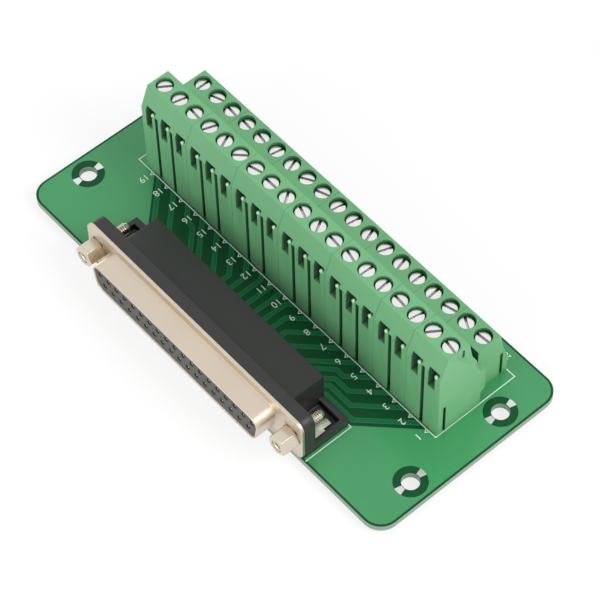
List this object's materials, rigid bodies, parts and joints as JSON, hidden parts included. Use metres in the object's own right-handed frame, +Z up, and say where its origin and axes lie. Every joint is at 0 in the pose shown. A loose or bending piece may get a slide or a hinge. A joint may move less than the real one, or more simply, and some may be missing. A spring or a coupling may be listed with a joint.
{
  "type": "d-sub terminal block adapter",
  "caption": "Circuit board that brings a right-angle D-sub socket out to a two-level row of screw clamp terminals, with holes at its corners for mounting.",
  "frame": {"origin": "middle of the four mounting holes, on the underside of the board", "axes": "+X along the board, +Y from the D-sub socket to the terminals, +Z up out of the board"},
  "size_m": [0.116, 0.057, 0.0302],
  "materials": {
    "board_green": "satin",
    "terminal_green": "satin",
    "screw_steel": "satin",
    "cage_steel": "satin",
    "tinned_contact": "satin",
    "shell_nickel": "satin",
    "jack_nickel": "satin",
    "insulator_grey": "matte",
    "housing_black": "matte",
    "legend_white": "matte"
  },
  "bodies": {
    "carrier": {"circuit_board": "board_green", "terminal_block_1": "terminal_green", "terminal_block_2": "terminal_green", "terminal_block_3": "terminal_green", "terminal_block_4": "terminal_green", "terminal_block_5": "terminal_green", "terminal_block_6": "terminal_green", "terminal_block_7": "terminal_green", "upper_wire_cages": "cage_steel", "lower_wire_cages": "cage_steel", "upper_terminal_contacts": "tinned_contact", "lower_terminal_contacts": "tinned_contact", "dsub_shell": "shell_nickel", "dsub_insulator": "insulator_grey", "dsub_housing": "housing_black", "dsub_contacts": "tinned_contact", "dsub_grounding_straps": "tinned_contact", "dsub_jackscrews": "jack_nickel"},
    "upper_screw_1": {"upper_screw_1": "screw_steel"},
    "upper_screw_2": {"upper_screw_2": "screw_steel"},
    "upper_screw_3": {"upper_screw_3": "screw_steel"},
    "upper_screw_4": {"upper_screw_4": "screw_steel"},
    "upper_screw_5": {"upper_screw_5": "screw_steel"},
    "upper_screw_6": {"upper_screw_6": "screw_steel"},
    "upper_screw_7": {"upper_screw_7": "screw_steel"},
    "upper_screw_8": {"upper_screw_8": "screw_steel"},
    "upper_screw_9": {"upper_screw_9": "screw_steel"},
    "upper_screw_10": {"upper_screw_10": "screw_steel"},
    "upper_screw_11": {"upper_screw_11": "screw_steel"},
    "upper_screw_12": {"upper_screw_12": "screw_steel"},
    "upper_screw_13": {"upper_screw_13": "screw_steel"},
    "upper_screw_14": {"upper_screw_14": "screw_steel"},
    "upper_screw_15": {"upper_screw_15": "screw_steel"},
    "upper_screw_16": {"upper_screw_16": "screw_steel"},
    "upper_screw_17": {"upper_screw_17": "screw_steel"},
    "upper_screw_18": {"upper_screw_18": "screw_steel"},
    "upper_screw_19": {"upper_screw_19": "screw_steel"},
    "lower_screw_1": {"lower_screw_1": "screw_steel"},
    "lower_screw_2": {"lower_screw_2": "screw_steel"},
    "lower_screw_3": {"lower_screw_3": "screw_steel"},
    "lower_screw_4": {"lower_screw_4": "screw_steel"},
    "lower_screw_5": {"lower_screw_5": "screw_steel"},
    "lower_screw_6": {"lower_screw_6": "screw_steel"},
    "lower_screw_7": {"lower_screw_7": "screw_steel"},
    "lower_screw_8": {"lower_screw_8": "screw_steel"},
    "lower_screw_9": {"lower_screw_9": "screw_steel"},
    "lower_screw_10": {"lower_screw_10": "screw_steel"},
    "lower_screw_11": {"lower_screw_11": "screw_steel"},
    "lower_screw_12": {"lower_screw_12": "screw_steel"},
    "lower_screw_13": {"lower_screw_13": "screw_steel"},
    "lower_screw_14": {"lower_screw_14": "screw_steel"},
    "lower_screw_15": {"lower_screw_15": "screw_steel"},
    "lower_screw_16": {"lower_screw_16": "screw_steel"},
    "lower_screw_17": {"lower_screw_17": "screw_steel"},
    "lower_screw_18": {"lower_screw_18": "screw_steel"},
    "lower_screw_19": {"lower_screw_19": "screw_steel"}
  },
  "joints": [
    {"name": "upper_screw_1_turn", "type": "hinge", "parent": "carrier", "child": "upper_screw_1", "pos_m": [0.04625, 0.00369, 0.0274], "axis": [0, 0, 1], "range_deg": [0, 1728]},
    {"name": "upper_screw_2_turn", "type": "hinge", "parent": "carrier", "child": "upper_screw_2", "pos_m": [0.04125, 0.00369, 0.0274], "axis": [0, 0, 1], "range_deg": [0, 1728]},
    {"name": "upper_screw_3_turn", "type": "hinge", "parent": "carrier", "child": "upper_screw_3", "pos_m": [0.03625, 0.00369, 0.0274], "axis": [0, 0, 1], "range_deg": [0, 1728]},
    {"name": "upper_screw_4_turn", "type": "hinge", "parent": "carrier", "child": "upper_screw_4", "pos_m": [0.03125, 0.00369, 0.0274], "axis": [0, 0, 1], "range_deg": [0, 1728]},
    {"name": "upper_screw_5_turn", "type": "hinge", "parent": "carrier", "child": "upper_screw_5", "pos_m": [0.02625, 0.00369, 0.0274], "axis": [0, 0, 1], "range_deg": [0, 1728]},
    {"name": "upper_screw_6_turn", "type": "hinge", "parent": "carrier", "child": "upper_screw_6", "pos_m": [0.02125, 0.00369, 0.0274], "axis": [0, 0, 1], "range_deg": [0, 1728]},
    {"name": "upper_screw_7_turn", "type": "hinge", "parent": "carrier", "child": "upper_screw_7", "pos_m": [0.01625, 0.00369, 0.0274], "axis": [0, 0, 1], "range_deg": [0, 1728]},
    {"name": "upper_screw_8_turn", "type": "hinge", "parent": "carrier", "child": "upper_screw_8", "pos_m": [0.01125, 0.00369, 0.0274], "axis": [0, 0, 1], "range_deg": [0, 1728]},
    {"name": "upper_screw_9_turn", "type": "hinge", "parent": "carrier", "child": "upper_screw_9", "pos_m": [0.00625, 0.00369, 0.0274], "axis": [0, 0, 1], "range_deg": [0, 1728]},
    {"name": "upper_screw_10_turn", "type": "hinge", "parent": "carrier", "child": "upper_screw_10", "pos_m": [0.00125, 0.00369, 0.0274], "axis": [0, 0, 1], "range_deg": [0, 1728]},
    {"name": "upper_screw_11_turn", "type": "hinge", "parent": "carrier", "child": "upper_screw_11", "pos_m": [-0.00375, 0.00369, 0.0274], "axis": [0, 0, 1], "range_deg": [0, 1728]},
    {"name": "upper_screw_12_turn", "type": "hinge", "parent": "carrier", "child": "upper_screw_12", "pos_m": [-0.00875, 0.00369, 0.0274], "axis": [0, 0, 1], "range_deg": [0, 1728]},
    {"name": "upper_screw_13_turn", "type": "hinge", "parent": "carrier", "child": "upper_screw_13", "pos_m": [-0.01375, 0.00369, 0.0274], "axis": [0, 0, 1], "range_deg": [0, 1728]},
    {"name": "upper_screw_14_turn", "type": "hinge", "parent": "carrier", "child": "upper_screw_14", "pos_m": [-0.01875, 0.00369, 0.0274], "axis": [0, 0, 1], "range_deg": [0, 1728]},
    {"name": "upper_screw_15_turn", "type": "hinge", "parent": "carrier", "child": "upper_screw_15", "pos_m": [-0.02375, 0.00369, 0.0274], "axis": [0, 0, 1], "range_deg": [0, 1728]},
    {"name": "upper_screw_16_turn", "type": "hinge", "parent": "carrier", "child": "upper_screw_16", "pos_m": [-0.02875, 0.00369, 0.0274], "axis": [0, 0, 1], "range_deg": [0, 1728]},
    {"name": "upper_screw_17_turn", "type": "hinge", "parent": "carrier", "child": "upper_screw_17", "pos_m": [-0.03375, 0.00369, 0.0274], "axis": [0, 0, 1], "range_deg": [0, 1728]},
    {"name": "upper_screw_18_turn", "type": "hinge", "parent": "carrier", "child": "upper_screw_18", "pos_m": [-0.03875, 0.00369, 0.0274], "axis": [0, 0, 1], "range_deg": [0, 1728]},
    {"name": "upper_screw_19_turn", "type": "hinge", "parent": "carrier", "child": "upper_screw_19", "pos_m": [-0.04375, 0.00369, 0.0274], "axis": [0, 0, 1], "range_deg": [0, 1728]},
    {"name": "lower_screw_1_turn", "type": "hinge", "parent": "carrier", "child": "lower_screw_1", "pos_m": [0.04375, 0.01574, 0.0158], "axis": [0, 0, 1], "range_deg": [0, 1728]},
    {"name": "lower_screw_2_turn", "type": "hinge", "parent": "carrier", "child": "lower_screw_2", "pos_m": [0.03875, 0.01574, 0.0158], "axis": [0, 0, 1], "range_deg": [0, 1728]},
    {"name": "lower_screw_3_turn", "type": "hinge", "parent": "carrier", "child": "lower_screw_3", "pos_m": [0.03375, 0.01574, 0.0158], "axis": [0, 0, 1], "range_deg": [0, 1728]},
    {"name": "lower_screw_4_turn", "type": "hinge", "parent": "carrier", "child": "lower_screw_4", "pos_m": [0.02875, 0.01574, 0.0158], "axis": [0, 0, 1], "range_deg": [0, 1728]},
    {"name": "lower_screw_5_turn", "type": "hinge", "parent": "carrier", "child": "lower_screw_5", "pos_m": [0.02375, 0.01574, 0.0158], "axis": [0, 0, 1], "range_deg": [0, 1728]},
    {"name": "lower_screw_6_turn", "type": "hinge", "parent": "carrier", "child": "lower_screw_6", "pos_m": [0.01875, 0.01574, 0.0158], "axis": [0, 0, 1], "range_deg": [0, 1728]},
    {"name": "lower_screw_7_turn", "type": "hinge", "parent": "carrier", "child": "lower_screw_7", "pos_m": [0.01375, 0.01574, 0.0158], "axis": [0, 0, 1], "range_deg": [0, 1728]},
    {"name": "lower_screw_8_turn", "type": "hinge", "parent": "carrier", "child": "lower_screw_8", "pos_m": [0.00875, 0.01574, 0.0158], "axis": [0, 0, 1], "range_deg": [0, 1728]},
    {"name": "lower_screw_9_turn", "type": "hinge", "parent": "carrier", "child": "lower_screw_9", "pos_m": [0.00375, 0.01574, 0.0158], "axis": [0, 0, 1], "range_deg": [0, 1728]},
    {"name": "lower_screw_10_turn", "type": "hinge", "parent": "carrier", "child": "lower_screw_10", "pos_m": [-0.00125, 0.01574, 0.0158], "axis": [0, 0, 1], "range_deg": [0, 1728]},
    {"name": "lower_screw_11_turn", "type": "hinge", "parent": "carrier", "child": "lower_screw_11", "pos_m": [-0.00625, 0.01574, 0.0158], "axis": [0, 0, 1], "range_deg": [0, 1728]},
    {"name": "lower_screw_12_turn", "type": "hinge", "parent": "carrier", "child": "lower_screw_12", "pos_m": [-0.01125, 0.01574, 0.0158], "axis": [0, 0, 1], "range_deg": [0, 1728]},
    {"name": "lower_screw_13_turn", "type": "hinge", "parent": "carrier", "child": "lower_screw_13", "pos_m": [-0.01625, 0.01574, 0.0158], "axis": [0, 0, 1], "range_deg": [0, 1728]},
    {"name": "lower_screw_14_turn", "type": "hinge", "parent": "carrier", "child": "lower_screw_14", "pos_m": [-0.02125, 0.01574, 0.0158], "axis": [0, 0, 1], "range_deg": [0, 1728]},
    {"name": "lower_screw_15_turn", "type": "hinge", "parent": "carrier", "child": "lower_screw_15", "pos_m": [-0.02625, 0.01574, 0.0158], "axis": [0, 0, 1], "range_deg": [0, 1728]},
    {"name": "lower_screw_16_turn", "type": "hinge", "parent": "carrier", "child": "lower_screw_16", "pos_m": [-0.03125, 0.01574, 0.0158], "axis": [0, 0, 1], "range_deg": [0, 1728]},
    {"name": "lower_screw_17_turn", "type": "hinge", "parent": "carrier", "child": "lower_screw_17", "pos_m": [-0.03625, 0.01574, 0.0158], "axis": [0, 0, 1], "range_deg": [0, 1728]},
    {"name": "lower_screw_18_turn", "type": "hinge", "parent": "carrier", "child": "lower_screw_18", "pos_m": [-0.04125, 0.01574, 0.0158], "axis": [0, 0, 1], "range_deg": [0, 1728]},
    {"name": "lower_screw_19_turn", "type": "hinge", "parent": "carrier", "child": "lower_screw_19", "pos_m": [-0.04625, 0.01574, 0.0158], "axis": [0, 0, 1], "range_deg": [0, 1728]}
  ]
}
